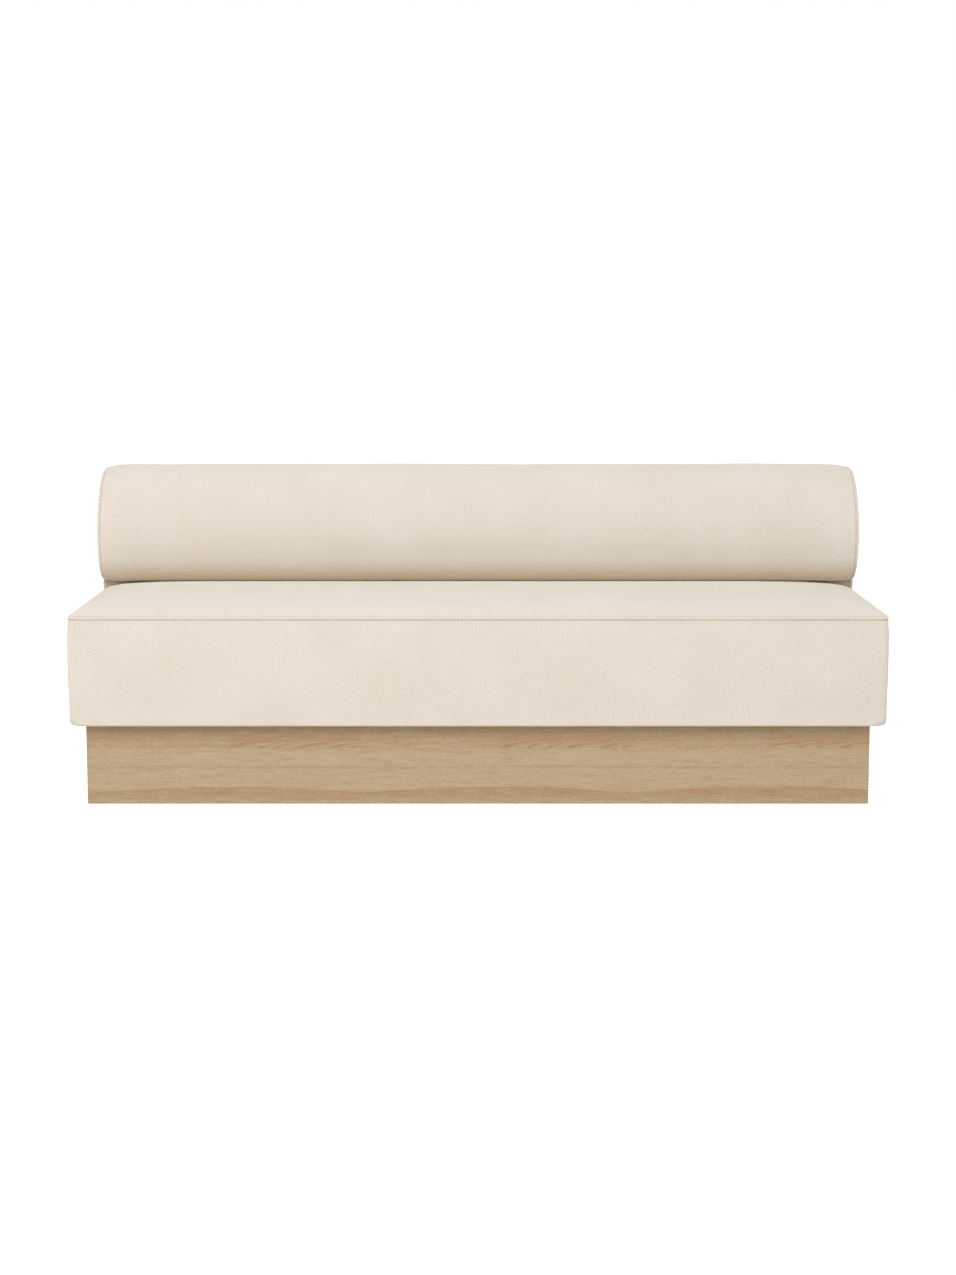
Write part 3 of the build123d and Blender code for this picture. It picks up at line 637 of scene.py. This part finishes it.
def make_back_cushion():
    """The whole back cover as one closed cushion: wrap and both end panels."""
    stations = back_stations()
    rings = [back_ring(*station) for station in stations]
    piece = cover_from_rings("back_cushion", rings)
    gaps = np.array([station[4] for station in stations])
    middle = rings[len(rings) // 2]
    verts, spoke, _, low, high, last = corner_marks(piece)
    co = places_of(piece)[verts]
    seams = np.flatnonzero(gaps == 0)
    on_wrap = (low >= seams[0]) & (high <= seams[1])
    across = np.where(on_wrap, co[:, 0], co[:, 1])
    up = np.where(on_wrap, girth_at(middle, spoke, last, on_wrap), co[:, 2])
    lay_cloth(piece, "cloth", across, up)
    co = places_of(piece)
    way = outward_of(piece)
    marks, turn = marks_of(piece, "level"), marks_of(piece, "spoke")
    gap = gaps[marks]
    place = run_of(middle)[turn]
    drift = 1.3 * np.sin(place / (71 * MM))
    pull = PUCKER * np.sin(2 * math.pi * place / PUCKER_PITCH + drift)
    pull *= eased(3 * MM, 12 * MM, gap) * (1 - eased(15 * MM, 70 * MM, gap))
    shift = back_unevenness(co) + swell(piece, back_is_held)
    loose = eased(10 * MM, 90 * MM, np.abs(gap))
    on_roll = eased(REST_Z + 4 * MM, REST_Z + 35 * MM, co[:, 2])
    forward = 1 - eased(REAR_Y - 20 * MM, REAR_Y - 5 * MM, co[:, 1])
    shift = (shift * loose * np.maximum(forward, 0.4) + pull) * on_roll
    move_to(piece, co + way * shift[:, None])
    roll_start = NECK_STEPS + len(TUCK)
    # Painted shade: the cloth's colour darkens in the tuck under the roll, and along the end seams
    tuck_for_painted_shade = (turn >= NECK_STEPS) & (turn < roll_start) & (gap > -3 * MM)
    mark_cloth(piece, "painted_crease_shade", np.where(tuck_for_painted_shade, 0.9, np.exp(-(gap / END_SHADE_REACH) ** 2)))
    # Painted shade: the roll's front is tinted browner low down, just above where it rests on the
    # seat, fading out onto the end panels
    front = (turn >= roll_start) & (turn < roll_start + ROLL_STEPS)
    painted_roll_shade = np.where(front, 1 - eased(REST_Z + 5 * MM, REST_Z + 72 * MM, co[:, 2]), 0)
    mark_cloth(piece, "tuck", painted_roll_shade * eased(-8 * MM, 2 * MM, gap))
    return piece


def back_is_held(co):
    """Where the back's cover can't move: at its end seams, down the slab, and behind."""
    at_seam = np.abs(np.abs(co[:, 0]) - END_SEAM) < 12 * MM
    slab = co[:, 2] < SLAB_TOP
    behind = co[:, 1] > REAR_Y - 16 * MM
    return at_seam | slab | behind


def back_unevenness(co):
    """The slight waves of padding wound on by hand."""
    x, y, z = co.T
    return WAVE * (np.sin(6.3 * x + 4.0 * z + 0.4) + 0.8 * np.sin(13.7 * x + 11.0 * y - 6.0 * z)
                   + 0.5 * np.sin(27.0 * x + 1.0) * np.sin(15.0 * z + 9.0 * y))


# Plinth boards


def make_plinth_board(name, node, run_axis, start):
    """One veneered board with mitred ends and eased edges, in its node's place."""
    low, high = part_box(node)
    bm = bmesh.new()
    bmesh.ops.create_cube(bm, size=1)
    for vert in bm.verts:
        for k in range(3):
            vert.co[k] = low[k] if vert.co[k] < 0 else high[k]
    thick_axis = 1 - run_axis
    outer = high if abs(high[thick_axis]) > abs(low[thick_axis]) else low
    thickness = high[thick_axis] - low[thick_axis]
    for vert in bm.verts:
        if abs(vert.co[thick_axis] - outer[thick_axis]) > thickness / 2:
            vert.co[run_axis] -= math.copysign(thickness, vert.co[run_axis])
    bmesh.ops.bevel(bm, geom=list(bm.edges), offset=EDGE_ROUND, segments=2, profile=0.5,
                    affect="EDGES", material=-1)
    bmesh.ops.recalc_face_normals(bm, faces=bm.faces)
    grain = bm.loops.layers.uv.new("grain")
    for face in bm.faces:
        flat = abs(face.normal.z) > 0.7
        for loop in face.loops:
            co = loop.vert.co
            loop[grain].uv = (co[run_axis] + start, co[thick_axis] if flat else co.z)
    piece = new_piece(name, bm)
    for polygon in piece.data.polygons:
        polygon.use_smooth = False
    return piece


# Materials


class Wire:
    """An output of a shader node that takes part in arithmetic."""

    def __init__(self, finish, socket):
        self.finish = finish
        self.socket = socket

    def _sum(self, operation, first, second):
        return self.finish.node("ShaderNodeMath", {0: first, 1: second}, operation=operation)

    def __add__(self, other):
        return self._sum("ADD", self, other)

    def __radd__(self, other):
        return self._sum("ADD", other, self)

    def __sub__(self, other):
        return self._sum("SUBTRACT", self, other)

    def __rsub__(self, other):
        return self._sum("SUBTRACT", other, self)

    def __mul__(self, other):
        return self._sum("MULTIPLY", self, other)

    def __truediv__(self, other):
        return self._sum("DIVIDE", self, other)

    def __pow__(self, other):
        return self._sum("POWER", self, other)


class Finish:
    """A procedural material for one of the sofa's stuffs."""

    def __init__(self, name, **constants):
        self.material = bpy.data.materials.new(name)
        self.material.use_nodes = True
        self.tree = self.material.node_tree
        self.tree.nodes.clear()
        self.shader = self.tree.nodes.new("ShaderNodeBsdfPrincipled")
        out = self.tree.nodes.new("ShaderNodeOutputMaterial")
        self.tree.links.new(self.shader.outputs[0], out.inputs[0])
        for socket, value in constants.items():
            self.shader.inputs[socket.replace("_", " ")].default_value = value

    def node(self, kind, sockets=None, output=0, **settings):
        """Any node: its settings first, then its sockets' values and links. Gives one output."""
        node = self.tree.nodes.new(kind)
        stops = settings.pop("stops", None)
        for setting, value in settings.items():
            setattr(node, setting, value)
        if stops:
            ramp = node.color_ramp
            while len(ramp.elements) < len(stops):
                ramp.elements.new(0.5)
            for element, (place, colour) in zip(ramp.elements, stops):
                element.position = place
                element.color = (*colour, 1)
        for socket, value in (sockets or {}).items():
            if isinstance(value, Wire):
                self.tree.links.new(value.socket, node.inputs[socket])
            else:
                node.inputs[socket].default_value = value
        return Wire(self, node.outputs[output])

    def feed(self, socket, value):
        """Joins a value to one of the shader's own sockets."""
        self.tree.links.new(value.socket, self.shader.inputs[socket])

    def blend(self, share, first, second):
        """One colour into another."""
        first = first if isinstance(first, Wire) else (*first, 1)
        second = second if isinstance(second, Wire) else (*second, 1)
        return self.node("ShaderNodeMix", {0: share, 6: first, 7: second}, output=2,
                         data_type="RGBA")

    def wave(self, value):
        """From 0 to 1 and back once for every whole step of a value."""
        turned = self.node("ShaderNodeMath", {0: value * (2 * math.pi)}, operation="COSINE")
        return turned * 0.5 + 0.5

    def clipped(self, value):
        """Held between 0 and 1."""
        return self.node("ShaderNodeClamp", {0: value})

    def eased(self, value, low, high):
        """0 up to low, 1 from high on, eased between."""
        return self.node("ShaderNodeMapRange", {0: value, 1: low, 2: high},
                         interpolation_type="SMOOTHSTEP")

    def raise_by(self, height, distance, strength=1.0):
        """Joins a relief to the shader's normal."""
        self.feed("Normal", self.node("ShaderNodeBump", {"Strength": strength, "Height": height,
                                                         "Distance": distance}))

    def place(self):
        """The place in the piece's own metres."""
        return self.node("ShaderNodeTexCoord", output=3)

    def flat_place(self, uv_map):
        """The place on a map laid in metres."""
        return self.node("ShaderNodeUVMap", uv_map=uv_map)

    def mark(self, name):
        """A share stored at each vertex."""
        return self.node("ShaderNodeAttribute", output=2, attribute_name=name)

    def parts_of(self, vector):
        """The three numbers of a vector."""
        node = self.tree.nodes.new("ShaderNodeSeparateXYZ")
        self.tree.links.new(vector.socket, node.inputs[0])
        return [Wire(self, socket) for socket in node.outputs]

    def join(self, x, y, z=0.0):
        """A vector from three numbers."""
        return self.node("ShaderNodeCombineXYZ", {0: x, 1: y, 2: z})

    def noise(self, vector, scale, detail=2.0, roughness=0.5):
        """Soft noise from 0 to 1, at so many bumps to a unit of the vector."""
        return self.node("ShaderNodeTexNoise", {"Vector": vector, "Scale": scale, "Detail": detail,
                                                "Roughness": roughness})


def linear(red, green, blue):
    """A screen colour of 0 to 255 as the shader wants it."""
    return tuple(((c / 255 + 0.055) / 1.055) ** 2.4 if c > 10 else c / 255 / 12.92
                 for c in (red, green, blue))


def twill_cloth():
    """Cream upholstery cloth: a soft coarse twill with slightly heathered yarn."""
    finish = Finish("cream_twill", Roughness=0.92, Diffuse_Roughness=0.7,
                    Specular_IOR_Level=0.25, Sheen_Weight=0.12, Sheen_Roughness=0.45)
    spot = finish.flat_place("cloth")
    across, up, _ = finish.parts_of(spot)
    drift = finish.noise(spot, 60, 2.0) - 0.5
    rib = finish.wave(across * RIBS_ACROSS + up * RIBS_UP + drift * 0.6)
    pick = finish.wave(across * RIBS_ACROSS - up * RIBS_UP + drift * 0.5)
    warp = finish.wave(across * (2 * RIBS_ACROSS))
    yarn = finish.noise(finish.join(across * 260, up * 900), 1.0, 3.0, 0.6)
    fleck = finish.noise(spot, 420, 2.0, 0.55)
    cloud = finish.noise(spot, 5, 2.0)
    height = rib * (0.7 + pick * 0.3) + yarn * 0.3
    light = finish.clipped(rib * 0.25 + pick * 0.1 + warp * 0.1 + (fleck - 0.5) * 1.0
                           + (yarn - 0.5) * 0.7 + (cloud - 0.5) * 0.25 + 0.415)
    colour = finish.blend(light, linear(211, 195, 172), linear(245, 241, 235))
    # Painted shade: browner low on the roll's front where the seat shades it, and darker along the
    # seams and in the tuck under the roll
    colour = finish.blend(finish.mark("tuck") * 0.73, colour, linear(232, 213, 184))
    colour = finish.blend(finish.mark("painted_crease_shade") * 0.5, colour, linear(184, 150, 112))
    finish.feed("Base Color", colour)
    finish.raise_by(height, 0.5 * MM, 0.9)
    return finish


def thread():
    """The topstitch's thick thread, twisted."""
    finish = Finish("topstitch_thread", Roughness=0.7, Specular_IOR_Level=0.3)
    spot = finish.place()
    across, deep, up = finish.parts_of(spot)
    ply = finish.wave(across * 1400 + up * 900 + deep * 600)
    finish.feed("Base Color", finish.blend(ply, linear(182, 159, 128), linear(216, 200, 176)))
    finish.raise_by(ply, 0.1 * MM, 0.6)
    return finish


def arch_lines(finish, along_grain, level):
    """Where the cut grazes the year rings: lines that rise from a row of feet and run level."""
    leaf = finish.node("ShaderNodeMath", {0: along_grain + ARCH_START, 1: LEAF},
                       operation="MODULO")
    foot = finish.node("ShaderNodeMath", {0: level - ARCH_FOOT, 1: 0.0}, operation="MAXIMUM")
    wobble = finish.noise(finish.join(along_grain * 14, level * 120), 1.0, 2.0) - 0.5
    place = leaf - foot * foot * ARCH_FALL + wobble * 0.03
    unevenness = finish.node("ShaderNodeMath", {0: place * 31.0}, operation="SINE")
    lines = finish.wave(place * ARCH_LINES + unevenness * 0.2) ** 6
    share = finish.eased(leaf, 0.27, 0.34) * (1 - finish.eased(leaf, 0.58, 0.66))
    over_feet = finish.eased(level, 0.139, 0.145)
    return lines * share * over_feet * (1 - finish.eased(level, 0.166, 0.186))


def oak_veneer():
    """Light oak veneer, grain along the board: leaves of one log laid side by side."""
    finish = Finish("oak_veneer", Specular_IOR_Level=0.35)
    spot = finish.flat_place("grain")
    along_grain, up, _ = finish.parts_of(spot)
    wander = (finish.noise(finish.join(along_grain * 3.2, up * 4), 1.0, 2.0, 0.5) - 0.5) * 0.012
    level = up + wander
    dip = finish.wave((along_grain + DIP_START) / LEAF) ** 2
    ragged = (finish.noise(finish.join(along_grain * 18, up * 160), 1.0, 2.0) - 0.5) * 0.006
    foot = up + dip * 0.011 + ragged + wander * 0.4
    foot_band = 1 - finish.eased(foot, 0.0405, 0.0435)
    edge = finish.eased(foot, 0.0395, 0.0415) * (1 - finish.eased(foot, 0.0425, 0.0455))
    arch_band = finish.eased(level, 0.124, 0.144) * (1 - finish.eased(level, 0.160, 0.182))
    middle_band = finish.eased(level, 0.086, 0.094) * (1 - finish.eased(level, 0.0965, 0.0985))
    mottle = finish.noise(finish.join(along_grain * 6.5, up * 120), 1.0, 3.0, 0.6)
    streak = finish.noise(finish.join(along_grain * 20, up * 560), 1.0, 4.0, 0.7)
    fibre = finish.noise(finish.join(along_grain * 90, up * 620 + along_grain * 9), 1.0, 3.0, 0.7)
    arches = arch_lines(finish, along_grain, level)
    pore = finish.noise(finish.join(along_grain * 60, up * 1500), 1.0, 2.0, 0.5)
    pores = finish.clipped((pore - 0.58) * 6)
    # Painted light and shade in the tone: the board is lighter in its lowest 30 mm, where the
    # floor shades it, and darker towards its top, where the seat overhangs it
    tone = finish.clipped(foot_band * 0.42 + arch_band * 0.22 + middle_band * 0.2
                          + (mottle - 0.5) * 0.9 + (streak - 0.5) * 2.0 + (fibre - 0.5) * 1.9
                          + arches * 0.75 + edge * 0.22 + finish.eased(up, 0.0, 0.03) * 0.3
                          + finish.eased(up, 0.13, 0.2) * 0.25
                          + finish.eased(up, 0.185, 0.203) * 0.3 - 0.02)
    colour = finish.blend(tone, linear(195, 176, 146), linear(165, 132, 95))
    colour = finish.blend(pores * 0.2, colour, linear(150, 118, 82))
    finish.feed("Base Color", colour)
    finish.feed("Roughness", 0.46 + streak * 0.14)
    finish.raise_by(streak * 0.5 + fibre * 0.3 - pores * 0.6, 0.12 * MM, 0.4)
    return finish


def solid_wood(name, pale, dark, grain_axis):
    """Plain planed timber for the parts inside."""
    finish = Finish(name, Roughness=0.62)
    spot = finish.place()
    axes = finish.parts_of(spot)
    stretched = [axis * (3 if k == grain_axis else 70) for k, axis in enumerate(axes)]
    ring = finish.noise(finish.join(*stretched), 1.0, 4.0, 0.6)
    fine = finish.noise(finish.join(*[axis * 4 for axis in stretched]), 1.0, 2.0)
    tone = finish.clipped((ring - 0.5) * 1.8 + (fine - 0.5) * 0.6 + 0.5)
    finish.feed("Base Color", finish.blend(tone, pale, dark))
    finish.raise_by(ring + fine * 0.4, 0.15 * MM, 0.5)
    return finish


def spun_sheet():
    """Dark non-woven dust cover with its pressed dots."""
    finish = Finish("dust_sheet", Roughness=0.95)
    spot = finish.place()
    x, y, _ = finish.parts_of(spot)
    dots = finish.wave(x * 400) * finish.wave(y * 400)
    fibre = finish.noise(spot, 900, 3.0, 0.7)
    tone = finish.clipped(fibre * 0.8 - dots * 0.35 + 0.1)
    finish.feed("Base Color", finish.blend(tone, linear(42, 42, 44), linear(84, 84, 86)))
    finish.raise_by(fibre * 0.5 - dots, 0.1 * MM, 0.6)
    return finish


def plated_steel():
    """Zinc-plated steel with its faint spangle."""
    finish = Finish("zinc_steel", Metallic=1.0)
    spot = finish.place()
    cloud = finish.noise(spot, 220, 3.0)
    scratch = finish.noise(spot, 1500, 2.0)
    finish.feed("Base Color", finish.blend(cloud, linear(176, 178, 180), linear(206, 206, 202)))
    finish.feed("Roughness", 0.26 + cloud * 0.14)
    finish.raise_by(scratch, 0.02 * MM, 0.4)
    return finish


def moulded_plastic():
    """Dark moulded glide."""
    finish = Finish("glide_plastic", Specular_IOR_Level=0.4)
    spot = finish.place()
    grain = finish.noise(spot, 1600, 2.0)
    finish.feed("Base Color", finish.blend(grain, linear(48, 47, 46), linear(62, 61, 59)))
    finish.feed("Roughness", 0.48 + grain * 0.12)
    finish.raise_by(grain, 0.05 * MM, 0.5)
    return finish


def padding(name, pale, dark, scale, relief):
    """Foam, felt or wadding: an open matte mass."""
    finish = Finish(name, Roughness=0.97)
    spot = finish.place()
    cells = finish.noise(spot, scale, 3.0, 0.6)
    finish.feed("Base Color", finish.blend(cells, dark, pale))
    finish.raise_by(cells, relief, 0.6)
    return finish


def strap_cloth():
    """Woven webbing with a ribbed face."""
    finish = Finish("webbing_strap", Roughness=0.9)
    spot = finish.place()
    x, y, _ = finish.parts_of(spot)
    weave = finish.wave(x * 500) * finish.wave(y * 500)
    finish.feed("Base Color", finish.blend(weave, linear(38, 36, 34), linear(70, 66, 60)))
    finish.raise_by(weave, 0.3 * MM, 0.6)
    return finish


def dress(piece, finish):
    """Gives a piece or node its finish."""
    slots = piece.material_slots
    if not slots:
        piece.data.materials.append(finish.material)
    for slot in slots:
        slot.material = finish.material


# The camera, the light and the floor


def set_camera():
    """The photograph's view: square to the front, a little down."""
    data = bpy.data.cameras.new("camera")
    data.sensor_fit = "VERTICAL"
    data.sensor_height = 36
    data.lens = CAMERA_LENS
    data.clip_end = 60
    camera = bpy.data.objects.new("camera", data)
    camera.location = CAMERA_PLACE
    camera.rotation_euler = (math.radians(90 - CAMERA_TILT), 0, 0)
    SCENE.collection.objects.link(camera)
    SCENE.camera = camera


def add_lamp(name, place, aim, size, power):
    """A soft square lamp."""
    data = bpy.data.lights.new(name, "AREA")
    data.shape = "SQUARE"
    data.size = size
    data.color = (0.99, 1.0, 1.015)
    data.energy = power
    lamp = bpy.data.objects.new(name, data)
    lamp.location = place
    lamp.rotation_euler = (Vector(aim) - Vector(place)).to_track_quat("-Z", "Y").to_euler()
    SCENE.collection.objects.link(lamp)


def seen_directly(tree):
    """1 for camera, mirror and see-through rays, 0 for the light that falls on the sofa."""
    paths = tree.nodes.new("ShaderNodeLightPath")
    seen = paths.outputs["Is Camera Ray"]
    for ray in ("Is Glossy Ray", "Is Transmission Ray"):
        either = tree.nodes.new("ShaderNodeMath")
        either.operation = "MAXIMUM"
        tree.links.new(seen, either.inputs[0])
        tree.links.new(paths.outputs[ray], either.inputs[1])
        seen = either.outputs[0]
    return seen


def set_room(tint, sky):
    """An even pale room that shows as white."""
    world = bpy.data.worlds.new("room")
    world.use_nodes = True
    SCENE.world = world
    tree = world.node_tree
    tree.nodes.clear()
    light = tree.nodes.new("ShaderNodeBackground")
    light.inputs[0].default_value = (*tint, 1)
    light.inputs[1].default_value = sky
    shown = tree.nodes.new("ShaderNodeBackground")
    shown.inputs[0].default_value = (1, 1, 1, 1)
    shown.inputs[1].default_value = 1.0
    mix = tree.nodes.new("ShaderNodeMixShader")
    out = tree.nodes.new("ShaderNodeOutputWorld")
    tree.links.new(seen_directly(tree), mix.inputs[0])
    tree.links.new(light.outputs[0], mix.inputs[1])
    tree.links.new(shown.outputs[0], mix.inputs[2])
    tree.links.new(mix.outputs[0], out.inputs[0])


def set_floor():
    """A plain pale floor that shows as white round the sofa's soft shadow."""
    bm = bmesh.new()
    bmesh.ops.create_grid(bm, x_segments=1, y_segments=1, size=30)
    floor = new_piece("floor", bm)
    material = bpy.data.materials.new("floor_paint")
    material.use_nodes = True
    tree = material.node_tree
    tree.nodes.clear()
    paint = tree.nodes.new("ShaderNodeBsdfDiffuse")
    paint.inputs[0].default_value = (0.86, 0.84, 0.81, 1)
    glow = tree.nodes.new("ShaderNodeEmission")
    glow.inputs[1].default_value = 0.85
    both = tree.nodes.new("ShaderNodeAddShader")
    mix = tree.nodes.new("ShaderNodeMixShader")
    out = tree.nodes.new("ShaderNodeOutputMaterial")
    tree.links.new(paint.outputs[0], both.inputs[0])
    tree.links.new(glow.outputs[0], both.inputs[1])
    tree.links.new(seen_directly(tree), mix.inputs[0])
    tree.links.new(paint.outputs[0], mix.inputs[1])
    tree.links.new(both.outputs[0], mix.inputs[2])
    tree.links.new(mix.outputs[0], out.inputs[0])
    floor.data.materials.append(material)


set_camera()
set_room((1.0, 0.965, 0.92), 0.3)
add_lamp("key_lamp", (-0.8, -4.6, 4.4), (0, -0.1, 0.4), 2.8, 217)
add_lamp("left_lamp", (-4.6, -2.6, 1.3), (0, 0, 0.4), 2.0, 31)
add_lamp("right_lamp", (4.6, -2.6, 1.3), (0, 0, 0.4), 2.0, 31)
add_lamp("rear_lamp", (0.4, 5.0, 3.6), (0, 0.3, 0.4), 3.0, 64)
set_floor()

# Upholstery
cloth = twill_cloth()
seat_cushion, seat_rings, seat_rises = make_seat_cushion()
dress(seat_cushion, cloth)
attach(seat_cushion, "root")
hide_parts("seat_top_cover", "seat_border_cover", "seat_crown_foam",
            "seat_core_foam", "seat_front_foam", "seat_end_foams", "seat_rear_wadding")

topstitch = make_topstitch(seat_rings, seat_rises)
dress(topstitch, thread())
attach(topstitch, "root")

back_cushion = make_back_cushion()
dress(back_cushion, cloth)
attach(back_cushion, "root")
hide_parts("back_wrap_cover", "back_left_end_cover", "back_right_end_cover",
            "back_roll_foam", "back_neck_foam", "back_rear_wadding", "back_left_end_foam",
            "back_right_end_foam")

# Plinth
oak = oak_veneer()
for name, node, run_axis, start in (
    ("plinth_front_veneered", "plinth_front_board", 0, 0.0),
    ("plinth_back_veneered", "plinth_back_board", 0, 3.7),
    ("plinth_left_veneered", "plinth_left_end_board", 1, 7.1),
    ("plinth_right_veneered", "plinth_right_end_board", 1, 9.4),
):
    board = make_plinth_board(name, node, run_axis, start)
    dress(board, oak)
    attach(board, "root")
    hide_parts(node)

# Everything else keeps its solid and gets its stuff's finish
pine_pale, pine_dark = linear(214, 184, 140), linear(186, 150, 104)
ply_pale, ply_dark = linear(206, 176, 132), linear(178, 144, 100)
finishes = {
    "plinth_timber": solid_wood("plinth_timber", pine_pale, pine_dark, 0),
    "frame_timber": solid_wood("frame_timber", ply_pale, ply_dark, 0),
    "foam": padding("foam_cells", linear(238, 234, 214), linear(216, 208, 180), 700, 0.3 * MM),
    "felt": padding("felt_mat", linear(206, 204, 196), linear(164, 160, 152), 500, 0.5 * MM),
    "webbing": strap_cloth(),
    "dust_cover_cloth": spun_sheet(),
    "zinc_steel": plated_steel(),
    "glide_plastic": moulded_plastic(),
    "upholstery": cloth,
    "oak": oak,
}
for part in frame["record"]["subparts"]:
    dress(frame["nodes"][part["node"]], finishes[part["material_slot"]])
